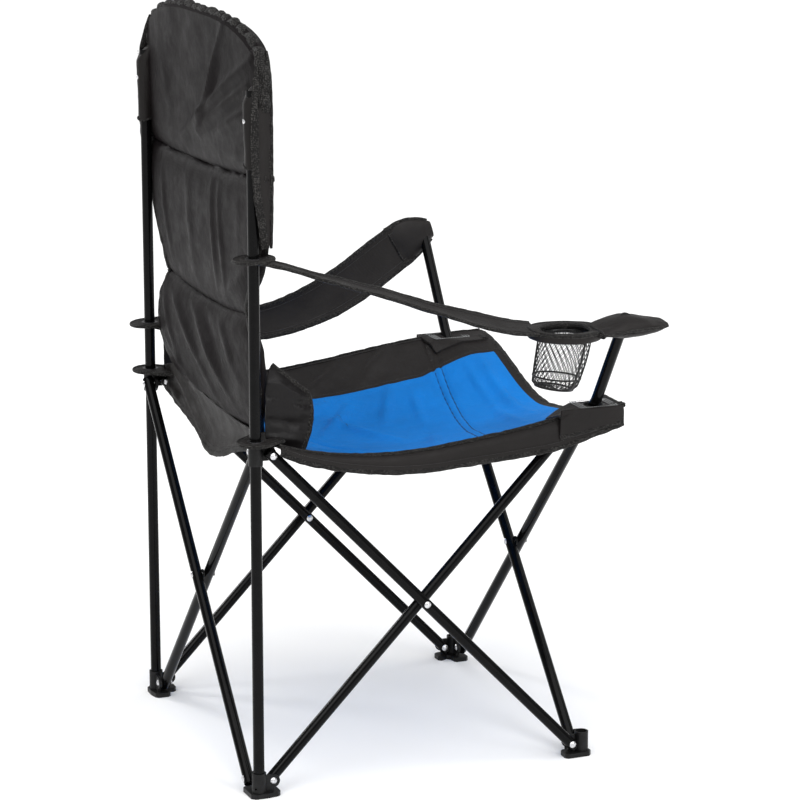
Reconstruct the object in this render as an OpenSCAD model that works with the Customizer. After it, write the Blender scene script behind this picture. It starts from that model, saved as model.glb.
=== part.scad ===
// Folding camp chair: four crossed tube pairs on moulded corner joints, sling seat,
// high padded back, strap armrests and one mesh cup holder on the sitter's right.
// The sitter faces -Y, +Z is up, and the origin is on the floor, under the middle of the whole chair.
// The modules below are drawn about the middle of the four feet, and place() moves them to the origin.

/* [Frame tubes] */
// Outside diameter of every frame tube
tube_d = 16; // [15.6:0.1:16.2]
// Wall thickness of the tubes
tube_wall = 1; // [0.8:0.1:1.4]
// Distance between the centre lines of neighbouring corners, chair open
corner_pitch = 504; // [496:1:512]
// Distance between the two end pivots of each crossed tube
link_len = 667; // [660:1:674]
// Height of the lower pivots above the floor
foot_pivot_z = 22; // [21:0.5:24]
// Distance from a corner's centre line to the pivots beside it
pivot_inset = 21; // [20.8:0.1:23]
// Distance from a corner's centre line to the middle plane of a tube beside it
tube_offset = 9; // [9:0.1:9.4]
// Length of tube past each end pivot
tube_end = 8.5; // [8:0.1:8.6]
// Height of the top ends of the two rear posts
post_top = 1013; // [990:1:1030]

/* [Arm posts] */
// Length of the front tubes from the upper pivot to their bend
bend_at = 50; // [45:1:60]
// Angle of the bend in the front tubes
bend_angle = 10; // [6:0.5:12]
// Centre-line radius of the bend
bend_r = 60; // [50:1:90]
// Straight length above the bend
arm_len = 162; // [150:1:175]

/* [Moulded corners] */
// Outside radius of the collars and sockets round the posts
collar_r = 10.4; // [10:0.1:10.5]
// Thickness of the ears that carry the pivots
ear_t = 4.2; // [3.5:0.1:4.5]
// Radius of the rounded end of each ear
ear_r = 9.5; // [8.5:0.1:9.5]
// Thickness of the base of each foot
foot_base = 7; // [5:0.5:8]
// Height of the post socket on each foot
socket_h = 36; // [32:1:44]

/* [Fastenings] */
// Diameter of the pivot rivets
rivet_d = 5; // [4:0.5:6]
// Radius of the rivet heads
head_r = 5; // [4.5:0.1:5.5]
// Height of the domed rivet heads
head_h = 2.2; // [1.8:0.1:2.6]
// Thickness of the washers between crossed tubes
washer_t = 1.6; // [1.2:0.1:1.7]

/* [Back and seat] */
// Half width of the padded back
back_half_w = 231; // [225:1:232]
// Height of the top of the back
back_top = 1102; // [1070:1:1115]
// Height of the cross seam between the upper and lower back
back_seam = 696; // [685:1:710]
// Radius of the back's upper corners
back_corner_r = 96; // [80:1:120]
// Thickness of the padded back
back_t = 14; // [8:1:14]
// Half width of the sling seat between the side tubes
seat_half_w = 226; // [215:1:228]
// Thickness of the sling seat
seat_t = 8; // [5:1:10]
// Depth of the sag in the middle of the seat
seat_sag = 46; // [20:1:50]
// Radius of the fabric round each post hole
tab_r = 18; // [17:0.5:20]

/* [Armrests] */
// Height of the right armrest's eyelet on its rear post
right_eyelet_z = 777; // [750:1:790]
// Height of the left armrest's eyelet, slid down its rear post
left_eyelet_z = 591; // [575:1:790]
// Width of the armrest straps
strap_w = 68; // [60:1:76]
// Thickness of the armrest straps
strap_t = 4; // [3:0.5:5]
// Length of strap in front of the arm posts
strap_tip = 58; // [45:1:62]

/* [Cup holder] */
// Centre-line radius of the cup holder ring
cup_ring_r = 40; // [36:1:42]
// Thickness of the ring
cup_ring_d = 4.4; // [4:0.1:5]
// Depth of the mesh basket below the ring
cup_depth = 70; // [60:1:90]
// Radius of the basket's bottom
cup_bottom_r = 31; // [26:1:34]
// Distance from the ring's centre back to the arm post's plane
cup_back = 88; // [84:1:92]

/* [Hidden] */
$fn = 48;
hull_fn = 32;
play = 0.05;
// the bend's extra radius, and how far the straight tube runs into it
bend_swell = 0.05;
bend_lap = 0.5;
gap = 0.3;
tube_r = tube_d / 2;
corner = corner_pitch / 2;
span = corner_pitch - 2 * pivot_inset;
rise = sqrt(link_len * link_len - span * span);
lean = atan(span / rise);
top_pivot_z = foot_pivot_z + rise;
pivot_r = rivet_d / 2 + play;
// an ear's face beside its tube, its back, and the rivet's seat outside the tube
ear_face = tube_offset - tube_r - gap;
ear_back = ear_face - ear_t;
rivet_face = tube_offset + tube_r + 0.1;
// rear posts stand in the sockets this far above the floor
post_foot = 5;
// running clearance of the sliding collars on the posts
slide_play = 0.25;
collar_low = 15;
collar_high = 11;
flange_z = 12.6;
flange_t = 2.4;
flange_r = 13;
bracket_web = 5;
tab_z = top_pivot_z + flange_z + flange_t + 0.4;
tab_t = 4;
eyelet_r = 12;
// the arm posts' upper ends, for the right side and mirrored for the left
arm_lean = lean - bend_angle;
bend_x = corner - pivot_inset + bend_at * sin(lean);
bend_z = top_pivot_z + bend_at * cos(lean);
arm_foot_x = bend_x + bend_r * (cos(arm_lean) - cos(lean));
arm_foot_z = bend_z + bend_r * (sin(lean) - sin(arm_lean));
arm_top_x = arm_foot_x + arm_len * sin(arm_lean);
arm_top_z = arm_foot_z + arm_len * cos(arm_lean);
// the front tubes lie either side of the front corners' plane
right_arm_y = -corner - tube_offset;
left_arm_y = -corner + tube_offset;
patch_z = top_pivot_z + 26;
patch_eyelet_r = 14.6;
sleeve_low = 907;
sleeve_t = 2.8;
sleeve_rivet_z = 971;
back_y = corner - 15;
// fabric on different bodies stays this far apart
seam_gap = 0.4;
seat_rear_y = corner - 31;
seat_front_y = -corner + 31;
cup_x = -corner - 98;
cup_y = right_arm_y + cup_back;
cup_z = arm_top_z - 26;
cup_wall = 1.4;
strap_mid_y = -60;
// the middle of the four feet is this far behind the middle of the whole chair
feet_behind = 24;
// the strap's first stretch, as a share of its way to the middle
strap_first = 90 / (corner - strap_mid_y);

// ---- helpers ----

// Moves to a corner's centre line and turns so that its two tubes leave along +X and -Y
module at_corner(right, rear) {
    turn = right ? (rear ? 0 : 90) : (rear ? -90 : 180);
    translate([right ? -corner : corner, rear ? corner : -corner, 0]) rotate([0, 0, turn]) children();
}

// Both tubes of a corner: the second is the first turned a quarter turn
module both_tubes() {
    children();
    rotate([0, 0, -90]) children();
}

// A crossed tube in a front or rear plane, from its lower pivot; side is +1 when it rises towards +X
module across(y, side) {
    translate([-side * span / 2, y, foot_pivot_z]) rotate([0, side * lean, 0]) children();
}

// A crossed tube in a side plane; side is +1 when it rises towards +Y
module along(x, side) {
    translate([x, -side * span / 2, foot_pivot_z]) rotate([-side * lean, 0, 0]) rotate([0, 0, 90]) children();
}

// A rivet hole through a tube at a height along it
module cross_hole(z) {
    translate([0, 0, z]) rotate([90, 0, 0]) cylinder(h = 2 * tube_d, r = pivot_r, center = true);
}

// Straight hollow link with three rivet holes along local Y
module link_tube() {
    difference() {
        translate([0, 0, -tube_end]) cylinder(h = link_len + 2 * tube_end, r = tube_r);
        translate([0, 0, -tube_end - 1]) cylinder(h = link_len + 2 * tube_end + 2, r = tube_r - tube_wall);
        cross_hole(0);
        cross_hole(link_len / 2);
        cross_hole(link_len);
    }
}

// Solid rod along the bent front tube, bending towards local -X; the bend is a trace fuller than the tube
module bent_rod(r, extra) {
    bend_z = link_len + bend_at;
    translate([0, 0, -tube_end - extra]) cylinder(h = bend_z + tube_end + extra + bend_lap, r = r);
    translate([-bend_r, 0, bend_z]) {
        rotate([90, 0, 0]) rotate_extrude(angle = bend_angle)
            translate([bend_r, 0]) circle(r = r + bend_swell);
        rotate([0, -bend_angle, 0]) translate([bend_r, 0, -bend_lap])
            cylinder(h = arm_len + extra + bend_lap, r = r);
    }
}

// Front tube: crossed link and arm post in one
module bent_tube() {
    difference() {
        bent_rod(tube_r, 0);
        bent_rod(tube_r - tube_wall, 1);
        cross_hole(0);
        cross_hole(link_len / 2);
        cross_hole(link_len);
    }
}

// Place along the arm post at a distance above its bend; side is -1 on the right
module on_arm(side, s) {
    y = side < 0 ? right_arm_y : left_arm_y;
    translate([side * arm_foot_x, y, arm_foot_z]) rotate([0, side * arm_lean, 0])
        translate([0, 0, s]) children();
}

// Domed rivet head standing on z = 0
module rivet_head() {
    dome_r = (head_r * head_r + head_h * head_h) / (2 * head_h);
    intersection() {
        cylinder(h = head_h, r = head_r);
        translate([0, 0, head_h - dome_r]) sphere(r = dome_r);
    }
}

// Pivot rivet along +Y from the back of an ear to the outside of a tube
module pivot_rivet() {
    rotate([-90, 0, 0]) {
        translate([0, 0, ear_back]) cylinder(h = rivet_face - ear_back, r = rivet_d / 2);
        translate([0, 0, rivet_face]) rivet_head();
        translate([0, 0, ear_back]) mirror([0, 0, 1]) rivet_head();
    }
}

// One ear of a foot, beside the tube that leaves along +X
module foot_ear() {
    translate([0, ear_back, 0]) cube([pivot_inset, ear_t, foot_pivot_z + ear_r]);
    translate([pivot_inset, ear_back, foot_pivot_z]) rotate([-90, 0, 0]) cylinder(h = ear_t, r = ear_r);
}

// One ear of a slider, on the other side of its tube
module slider_ear(web_top) {
    translate([0, -ear_face, -ear_r]) cube([pivot_inset, ear_t, ear_r + web_top]);
    translate([pivot_inset, -ear_face, 0]) rotate([-90, 0, 0]) cylinder(h = ear_t, r = ear_r);
}

// A rivet hole along Y beside a corner
module ear_hole(z) {
    translate([pivot_inset, 0, z]) rotate([90, 0, 0]) cylinder(h = 60, r = pivot_r, center = true);
}

// Plan of a foot's base: a bevelled L under both ears and tubes
module foot_plan() {
    reach = pivot_inset + ear_r;
    polygon([[-12, 8], [-7, 14], [reach - 4, 15], [reach, 11], [reach, -5], [reach - 4, -9], [15, -10],
             [10, -15], [15, 4 - reach], [11, -reach], [-5, -reach], [-9, 4 - reach], [-12, -12]]);
}

// Foot with its socket and two ears, standing on z = 0
module foot_body(bore_r) {
    difference() {
        union() {
            linear_extrude(foot_base) foot_plan();
            cylinder(h = socket_h, r = collar_r);
            both_tubes() foot_ear();
        }
        translate([0, 0, post_foot]) cylinder(h = socket_h, r = bore_r);
        both_tubes() ear_hole(foot_pivot_z);
        translate([0, 0, 14]) rotate([0, 90, 135]) cylinder(h = 30, r = 1.6);
    }
}

// Two pivot rivets of a corner, at height z
module corner_rivets(z, upper) {
    both_tubes() translate([pivot_inset, 0, z]) mirror([0, upper ? 1 : 0, 0]) pivot_rivet();
}

// Collar that slides on a rear post
module slider_body() {
    translate([0, 0, top_pivot_z]) difference() {
        union() {
            translate([0, 0, -collar_low]) cylinder(h = collar_low + flange_z + flange_t, r = collar_r);
            translate([0, 0, flange_z]) cylinder(h = flange_t, r = flange_r);
            both_tubes() slider_ear(collar_high);
        }
        translate([0, 0, -30]) cylinder(h = 60, r = tube_r + slide_play);
        both_tubes() ear_hole(0);
    }
}

// Front bracket: two joined ears with no post between them
module bracket_body() {
    translate([0, 0, top_pivot_z]) difference() {
        union() {
            translate([-ear_face, -ear_face, -collar_low]) cube([ear_t, ear_t, collar_low + bracket_web]);
            both_tubes() slider_ear(bracket_web);
        }
        both_tubes() ear_hole(0);
    }
}

// Flat ring with a hole, lying at a height
module flat_ring(r_out, r_in, z, h) {
    translate([0, 0, z]) difference() {
        cylinder(h = h, r = r_out);
        translate([0, 0, -1]) cylinder(h = h + 2, r = r_in);
    }
}

// ---- frame ----

module rear_post(side) {
    color([0.06, 0.06, 0.065]) translate([side * corner, corner, post_foot + 0.1]) difference() {
        cylinder(h = post_top - post_foot - 0.1, r = tube_r);
        translate([0, 0, -1]) cylinder(h = post_top, r = tube_r - tube_wall);
        cross_hole(sleeve_rivet_z - post_foot - 0.1);
    }
}

module foot(right, rear) {
    color([0.05, 0.05, 0.055]) at_corner(right, rear) foot_body(tube_r + play);
}

module slider(right) {
    color([0.05, 0.05, 0.055]) at_corner(right, true) slider_body();
}

module bracket(right) {
    color([0.05, 0.05, 0.055]) at_corner(right, false) bracket_body();
}

// Tube a of each side rises to the rear, tube b to the front
module side_tube(x, rises) {
    color([0.06, 0.06, 0.065]) along(x, rises) link_tube();
}

module rear_tube(y, rises) {
    color([0.06, 0.06, 0.065]) across(y, rises) link_tube();
}

module arm_tube(side) {
    y = side < 0 ? right_arm_y : left_arm_y;
    color([0.06, 0.06, 0.065]) across(y, side) mirror([side < 0 ? 1 : 0, 0, 0]) bent_tube();
}

module arm_cap(side) {
    color([0.04, 0.04, 0.045]) on_arm(side, arm_len) {
        translate([0, 0, 0.05]) cylinder(h = 2, r = tube_r);
        translate([0, 0, -12]) cylinder(h = 12.05, r = tube_r - tube_wall - play);
    }
}

// ---- fastenings ----

// Rivet through the crossing of two tubes whose middle planes are either side of y = 0
module cross_rivet_body() {
    rotate([-90, 0, 0]) {
        translate([0, 0, -rivet_face]) cylinder(h = 2 * rivet_face, r = rivet_d / 2);
        translate([0, 0, rivet_face]) rivet_head();
        translate([0, 0, -rivet_face]) mirror([0, 0, 1]) rivet_head();
    }
}

module cross_washer_body() {
    rotate([90, 0, 0]) translate([0, 0, -washer_t / 2]) flat_ring(7, rivet_d / 2 + 2 * play, 0, washer_t);
}

module at_cross(x, y, turn) {
    translate([x, y, foot_pivot_z + rise / 2]) rotate([0, 0, turn]) children();
}

module cross_rivet(x, y, turn) {
    color([0.72, 0.72, 0.74]) at_cross(x, y, turn) cross_rivet_body();
}

module cross_washer(x, y, turn) {
    color([0.08, 0.08, 0.08]) at_cross(x, y, turn) cross_washer_body();
}

module foot_rivets(right, rear) {
    color([0.72, 0.72, 0.74]) at_corner(right, rear) corner_rivets(foot_pivot_z, false);
}

module upper_rivets(right, rear) {
    color([0.72, 0.72, 0.74]) at_corner(right, rear) corner_rivets(top_pivot_z, true);
}

// ---- back ----

module sleeve(side) {
    outer = tube_r + slide_play + sleeve_t;
    color([0.1, 0.1, 0.11]) translate([side * corner, corner, sleeve_low]) difference() {
        cylinder(h = post_top + sleeve_t + 1 - sleeve_low, r = outer);
        translate([0, 0, -1]) cylinder(h = post_top + 2 - sleeve_low, r = tube_r + slide_play);
        translate([0, 0, sleeve_rivet_z - sleeve_low]) rotate([90, 0, 0])
            cylinder(h = 60, r = pivot_r, center = true);
    }
}

module sleeve_rivet(side) {
    face = tube_r + slide_play + sleeve_t + 0.05;
    color([0.72, 0.72, 0.74]) translate([side * corner, corner, sleeve_rivet_z]) rotate([-90, 0, 0]) {
        translate([0, 0, -face]) cylinder(h = 2 * face, r = rivet_d / 2);
        translate([0, 0, face]) rivet_head();
    }
}

// Back outline above the seam: straight sides and rounded upper corners
module back_outline() {
    round_y = back_top - back_corner_r;
    top_half = back_half_w - back_corner_r;
    translate([-back_half_w, back_seam + gap]) square([2 * back_half_w, round_y - back_seam - gap]);
    translate([-top_half, round_y]) square([2 * top_half, back_corner_r]);
    for (side = [-1, 1])
        translate([side * top_half, round_y]) circle(r = back_corner_r);
}

module back_upper() {
    color([0.13, 0.13, 0.14]) translate([0, back_y, 0]) rotate([90, 0, 0])
        linear_extrude(back_t) back_outline();
}

module back_lower() {
    low = tab_z + tab_t + 4;
    color([0.13, 0.13, 0.14]) translate([-back_half_w + 6, back_y - back_t, low])
        cube([2 * back_half_w - 12, back_t, back_seam - low]);
}

// ---- seat ----

// Height of the sling at a distance y from the middle
function sling_z(y) = (tab_z + patch_z) / 2 + tab_t + (tab_z - patch_z) * y / (2 * seat_rear_y)
                      - seat_sag * (1 - pow(y / seat_rear_y, 2));

// Half of the sling between two y values, as one extruded strip
module sling(y0, y1) {
    steps = 8;
    ys = [for (i = [0 : steps]) y0 + (y1 - y0) * i / steps];
    top = [for (y = ys) [y, sling_z(y)]];
    low = [for (i = [steps : -1 : 0]) [ys[i], sling_z(ys[i]) - seat_t]];
    translate([-seat_half_w, 0, 0]) rotate([90, 0, 90])
        linear_extrude(2 * seat_half_w) polygon(concat(top, low));
}

module seat_rear() {
    color([0.0, 0.4, 0.8]) sling(gap / 2, seat_rear_y);
}

module seat_front() {
    color([0.0, 0.4, 0.8]) sling(seat_front_y, -gap / 2);
}

// Fabric ear from the seat's rear corner to an eyelet round the post
module seat_tab(side) {
    color([0.1, 0.1, 0.11]) mirror([side < 0 ? 1 : 0, 0, 0]) translate([0, 0, tab_z]) difference() {
        linear_extrude(tab_t) {
            translate([corner, corner]) circle(r = tab_r);
            polygon([[corner + 5, corner - 17], [corner - 17, corner + 5], [corner - 44, seat_rear_y + 12],
                     [corner - 44, seat_rear_y + seam_gap], [seat_half_w + seam_gap, seat_rear_y + seam_gap],
                     [seat_half_w + seam_gap, seat_rear_y - 14], [corner - 4, seat_rear_y - 14]]);
        }
        translate([corner, corner, -1]) cylinder(h = tab_t + 2, r = eyelet_r + play);
    }
}

module seat_eyelet(side) {
    color([0.2, 0.2, 0.21]) translate([side * corner, corner, 0])
        flat_ring(eyelet_r, tube_r + 0.6, tab_z - 0.2, tab_t + 0.8);
}

// Centre of the front eyelet, where the inclined arm tube passes the patch
function patch_x() = corner - pivot_inset + (patch_z + tab_t / 2 - top_pivot_z) * tan(lean);

module seat_patch(side) {
    y = side < 0 ? right_arm_y : left_arm_y;
    color([0.1, 0.1, 0.11]) translate([0, 0, patch_z]) difference() {
        linear_extrude(tab_t) polygon([
            [side * (seat_half_w - 14), seat_front_y - seam_gap], [side * (seat_half_w - 14), y - 34],
            [side * (seat_half_w - 4), y - 44], [side * (patch_x() + 14), y - 44],
            [side * (patch_x() + 24), y - 34], [side * (patch_x() + 24), y + 30],
            [side * (patch_x() + 10), seat_front_y + 10],
            [side * (seat_half_w + seam_gap), seat_front_y + 10],
            [side * (seat_half_w + seam_gap), seat_front_y - seam_gap]]);
        translate([side * patch_x(), y, -1]) cylinder(h = tab_t + 2, r = patch_eyelet_r + 3.4 + play);
    }
}

module patch_eyelet(side) {
    y = side < 0 ? right_arm_y : left_arm_y;
    color([0.2, 0.2, 0.21]) translate([side * patch_x(), y, 0])
        flat_ring(patch_eyelet_r + 3.4, patch_eyelet_r, patch_z - 0.2, tab_t + 0.8);
}

// ---- armrests ----

// Round pad of strap at a place
module strap_pad(x, y, z, r) {
    translate([x, y, z]) cylinder(h = strap_t, r = r, $fn = hull_fn);
}

// Strap from the rear eyelet to the front pocket; side is -1 on the right
module armrest(side, eyelet_z, mid_z, wide_r) {
    y = side < 0 ? right_arm_y : left_arm_y;
    half = strap_w / 2;
    first_z = eyelet_z + (mid_z - eyelet_z) * strap_first;
    front_z = arm_top_z + 3;
    color([0.1, 0.1, 0.11]) difference() {
        union() {
            hull() {
                strap_pad(side * corner, corner, eyelet_z, tab_r);
                strap_pad(side * (corner + 16), corner - 90, first_z, half * 0.7);
            }
            hull() {
                strap_pad(side * (corner + 16), corner - 90, first_z, half * 0.7);
                strap_pad(side * (corner + 68), strap_mid_y, mid_z, half);
            }
            hull() {
                strap_pad(side * (corner + 68), strap_mid_y, mid_z, half);
                strap_pad(side * abs(cup_x), cup_y, cup_z + 8, wide_r);
            }
            hull() {
                strap_pad(side * abs(cup_x), cup_y, cup_z + 8, wide_r);
                strap_pad(side * arm_top_x, y, front_z, half);
            }
            hull() {
                strap_pad(side * arm_top_x, y, front_z, half);
                strap_pad(side * (arm_top_x + 8), y - strap_tip + 22, front_z - 6, 22);
            }
            on_arm(side, arm_len - 32) cylinder(h = 34, r = tube_r + 4);
        }
        on_arm(side, 0) cylinder(h = arm_len + 2.4, r = tube_r + gap);
        translate([side * corner, corner, eyelet_z - 20]) cylinder(h = 40, r = eyelet_r + play);
        if (wide_r > half) translate([cup_x, cup_y, cup_z - 20]) cylinder(h = 60, r = cup_ring_r - 4);
    }
}

module arm_eyelet(side, eyelet_z) {
    color([0.2, 0.2, 0.21]) translate([side * corner, corner, 0])
        flat_ring(eyelet_r, tube_r + 0.6, eyelet_z - 0.4, strap_t + 0.8);
}

// ---- cup holder ----

// from the middle of the four feet to the origin
module place() {
    translate([0, feet_behind, 0]) children();
}

module cup_ring() {
    color([0.05, 0.05, 0.055]) translate([cup_x, cup_y, cup_z])
        rotate_extrude() translate([cup_ring_r, 0]) circle(d = cup_ring_d, $fn = 24);
}

module cup_basket() {
    rim = cup_ring_r - cup_ring_d / 2 - 0.2;
    color([0.15, 0.15, 0.16]) translate([cup_x, cup_y, cup_z - cup_depth]) rotate_extrude() polygon([
        [0, 0], [cup_bottom_r, 0], [cup_bottom_r + 2, 4], [rim, cup_depth],
        [rim - cup_wall, cup_depth], [cup_bottom_r + 2 - cup_wall, 4], [cup_bottom_r - cup_wall, cup_wall],
        [0, cup_wall]]);
}

// ---- assembly ----

place() rear_post(-1);  // rear_post_right
place() rear_post(1);  // rear_post_left
place() foot(true, true);  // foot_rear_right
place() foot(false, true);  // foot_rear_left
place() foot(true, false);  // foot_front_right
place() foot(false, false);  // foot_front_left
place() slider(true);  // slider_right
place() slider(false);  // slider_left
place() bracket(true);  // bracket_right
place() bracket(false);  // bracket_left
place() side_tube(-corner - tube_offset, 1);  // side_tube_a_right
place() side_tube(-corner + tube_offset, -1);  // side_tube_b_right
place() side_tube(corner - tube_offset, 1);  // side_tube_a_left
place() side_tube(corner + tube_offset, -1);  // side_tube_b_left
place() rear_tube(corner + tube_offset, 1);  // rear_tube_a
place() rear_tube(corner - tube_offset, -1);  // rear_tube_b
place() arm_tube(-1);  // arm_tube_right
place() arm_tube(1);  // arm_tube_left
place() arm_cap(-1);  // arm_cap_right
place() arm_cap(1);  // arm_cap_left
place() cross_rivet(-corner, 0, 90);  // cross_rivet_right
place() cross_rivet(corner, 0, 90);  // cross_rivet_left
place() cross_rivet(0, corner, 0);  // cross_rivet_rear
place() cross_rivet(0, -corner, 0);  // cross_rivet_front
place() cross_washer(-corner, 0, 90);  // cross_washer_right
place() cross_washer(corner, 0, 90);  // cross_washer_left
place() cross_washer(0, corner, 0);  // cross_washer_rear
place() cross_washer(0, -corner, 0);  // cross_washer_front
place() foot_rivets(true, true);  // foot_rivets_rear_right
place() foot_rivets(false, true);  // foot_rivets_rear_left
place() foot_rivets(true, false);  // foot_rivets_front_right
place() foot_rivets(false, false);  // foot_rivets_front_left
place() upper_rivets(true, true);  // slider_rivets_right
place() upper_rivets(false, true);  // slider_rivets_left
place() upper_rivets(true, false);  // bracket_rivets_right
place() upper_rivets(false, false);  // bracket_rivets_left
place() sleeve(-1);  // sleeve_right
place() sleeve(1);  // sleeve_left
place() sleeve_rivet(-1);  // sleeve_rivet_right
place() sleeve_rivet(1);  // sleeve_rivet_left
place() back_upper();
place() back_lower();
place() seat_rear();
place() seat_front();
place() seat_tab(-1);  // seat_tab_right
place() seat_tab(1);  // seat_tab_left
place() seat_eyelet(-1);  // seat_eyelet_right
place() seat_eyelet(1);  // seat_eyelet_left
place() seat_patch(-1);  // seat_patch_right
place() seat_patch(1);  // seat_patch_left
place() patch_eyelet(-1);  // patch_eyelet_right
place() patch_eyelet(1);  // patch_eyelet_left
place() armrest(-1, right_eyelet_z, arm_top_z, 50);  // armrest_right
place() armrest(1, left_eyelet_z, arm_top_z - 44, strap_w / 2);  // armrest_left
place() arm_eyelet(-1, right_eyelet_z);  // arm_eyelet_right
place() arm_eyelet(1, left_eyelet_z);  // arm_eyelet_left
place() cup_ring();
place() cup_basket();
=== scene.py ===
"""Looks of a folding camp chair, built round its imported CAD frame.

The sitter faces -Y and +Z is up. Right and left are the sitter's, so right is -X. Everything is in metres.
"""

import bpy
import numpy as np
from numpy import (
    array, asarray, broadcast_to, clip, concatenate, cos, cross, exp, gradient, hstack, linspace,
    maximum, meshgrid, minimum, pi, radians, sign, sin, stack, vstack, where,
)
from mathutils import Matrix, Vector, noise


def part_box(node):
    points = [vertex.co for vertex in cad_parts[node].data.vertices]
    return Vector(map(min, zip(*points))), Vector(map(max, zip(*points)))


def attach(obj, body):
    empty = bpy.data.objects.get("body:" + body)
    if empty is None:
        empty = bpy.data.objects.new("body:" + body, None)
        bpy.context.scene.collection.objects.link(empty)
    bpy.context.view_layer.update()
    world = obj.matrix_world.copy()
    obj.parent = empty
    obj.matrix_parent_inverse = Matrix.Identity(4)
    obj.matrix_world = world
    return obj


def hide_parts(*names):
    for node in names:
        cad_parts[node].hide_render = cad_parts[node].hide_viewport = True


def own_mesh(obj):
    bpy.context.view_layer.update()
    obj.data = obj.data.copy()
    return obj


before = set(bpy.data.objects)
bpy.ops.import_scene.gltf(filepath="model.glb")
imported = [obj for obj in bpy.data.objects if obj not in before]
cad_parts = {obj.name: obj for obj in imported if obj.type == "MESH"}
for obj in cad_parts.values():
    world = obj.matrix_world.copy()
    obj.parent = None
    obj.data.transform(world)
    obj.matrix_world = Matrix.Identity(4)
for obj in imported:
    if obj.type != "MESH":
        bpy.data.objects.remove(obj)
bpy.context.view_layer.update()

# ---- places taken from the frame ----


def middle_of(node):
    low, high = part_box(node)
    return (low + high) / 2


CORNER = abs(middle_of("rear_post_right").x)
# the pieces are laid out about the middle of the four feet, which is this far behind the frame's origin
FEET_BEHIND = Vector((0, middle_of("rear_post_right").y - CORNER, 0))


def centre(node):
    return middle_of(node) - FEET_BEHIND


def placed(x, y, z):
    """A point about the middle of the feet, in the frame's own axes."""
    return Vector((x, y, z)) + FEET_BEHIND


POST_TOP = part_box("rear_post_right")[1].z
TAB_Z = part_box("seat_tab_right")[0].z
PATCH_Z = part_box("seat_patch_right")[1].z
RING = centre("cup_ring") + Vector((0, 0, 0.003))
BASKET_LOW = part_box("cup_basket")[0].z


SIDES = {-1: "right", 1: "left"}
UP = (0, 0, 1)


# ---- curves and meshes ----


def round_turn(count):
    """Evenly spaced angles round a full turn."""
    return 2 * pi * np.arange(count) / count


def spline(knots, t):
    """Smooth values at t through knots of (t, value, ...)."""
    table = array(knots, float)
    ts = table[:, 0]
    values = table[:, 1:]
    slopes = gradient(values, ts, axis=0)
    t = clip(asarray(t, float), ts[0], ts[-1])
    i = clip(np.searchsorted(ts, t, side="right") - 1, 0, len(ts) - 2)
    h = (ts[i + 1] - ts[i])[..., None]
    s = (t - ts[i])[..., None] / h
    made = (2 * s**3 - 3 * s**2 + 1) * values[i] + (s**3 - 2 * s**2 + s) * h * slopes[i]
    made += (3 * s**2 - 2 * s**3) * values[i + 1] + (s**3 - s**2) * h * slopes[i + 1]
    return made[..., 0] if made.shape[-1] == 1 else made


def mm(rows):
    """A table written in millimetres, in metres."""
    return array(rows, float) / 1000


def spread(low, high, count, across):
    """Grids of low to high in one direction and 0 to 1 in the other."""
    return meshgrid(linspace(low, high, count), linspace(0, 1, across), indexing="ij")


def unit(v):
    return v / (np.linalg.norm(v, axis=-1, keepdims=True) + 1e-12)


def lumps(points, size, seed=0.0):
    """Smooth noise from -1 to 1 at each point, with features of about that size."""
    flat = asarray(points, float).reshape(-1, 3) / size + seed
    made = array([noise.noise(Vector(p)) for p in flat])
    return made.reshape(asarray(points).shape[:-1])


def folds(a, b, ridges):
    """Sum of soft straight folds over the plane (a, b); a ridge is (a0, b0, a1, b1, half width, height)."""
    made = np.zeros_like(a)
    for a0, b0, a1, b1, width, height in ridges:
        da, db = a1 - a0, b1 - b0
        t = clip(((a - a0) * da + (b - b0) * db) / (da * da + db * db), 0, 1)
        away = (a - a0 - t * da) ** 2 + (b - b0 - t * db) ** 2
        taper = 0.35 + 0.65 * sin(pi * clip(t, 0.02, 0.98))
        made += height * taper * exp(-away / width**2)
    return made


def make_mesh(name, verts, faces, mats, index=None, smooth_angle=40, shift=FEET_BEHIND):
    mesh = bpy.data.meshes.new(name)
    verts = asarray([tuple(v) for v in verts], float) + array(shift)
    mesh.from_pydata(verts.tolist(), [], [tuple(int(i) for i in f) for f in faces])
    for mat in mats:
        mesh.materials.append(mat)
    mesh.polygons.foreach_set("use_smooth", [True] * len(mesh.polygons))
    if index is not None:
        mesh.polygons.foreach_set("material_index", [int(i) for i in index])
    mesh.update()
    mesh.set_sharp_from_angle(angle=radians(smooth_angle))
    obj = bpy.data.objects.new(name, mesh)
    bpy.context.scene.collection.objects.link(obj)
    return obj


def grid_faces(nu, nv, start=0, flip=False, wrap_u=False, wrap_v=False):
    faces = []
    for i in range(nu if wrap_u else nu - 1):
        for j in range(nv if wrap_v else nv - 1):
            a = start + i * nv + j
            b = start + ((i + 1) % nu) * nv + j
            c = start + ((i + 1) % nu) * nv + (j + 1) % nv
            d = start + i * nv + (j + 1) % nv
            faces.append((a, d, c, b) if flip else (a, b, c, d))
    return faces


def tube_faces(count, sides, start=0, closed=False):
    """Faces of a tube through rings of points; its ends are capped unless it closes on itself."""
    faces = grid_faces(count, sides, start, wrap_u=closed, wrap_v=True)
    if not closed:
        last = start + (count - 1) * sides
        faces.append(tuple(start + k for k in reversed(range(sides))))
        faces.append(tuple(last + k for k in range(sides)))
    return faces


def grid_normals(grid):
    return unit(cross(gradient(grid, axis=0), gradient(grid, axis=1)))


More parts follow.
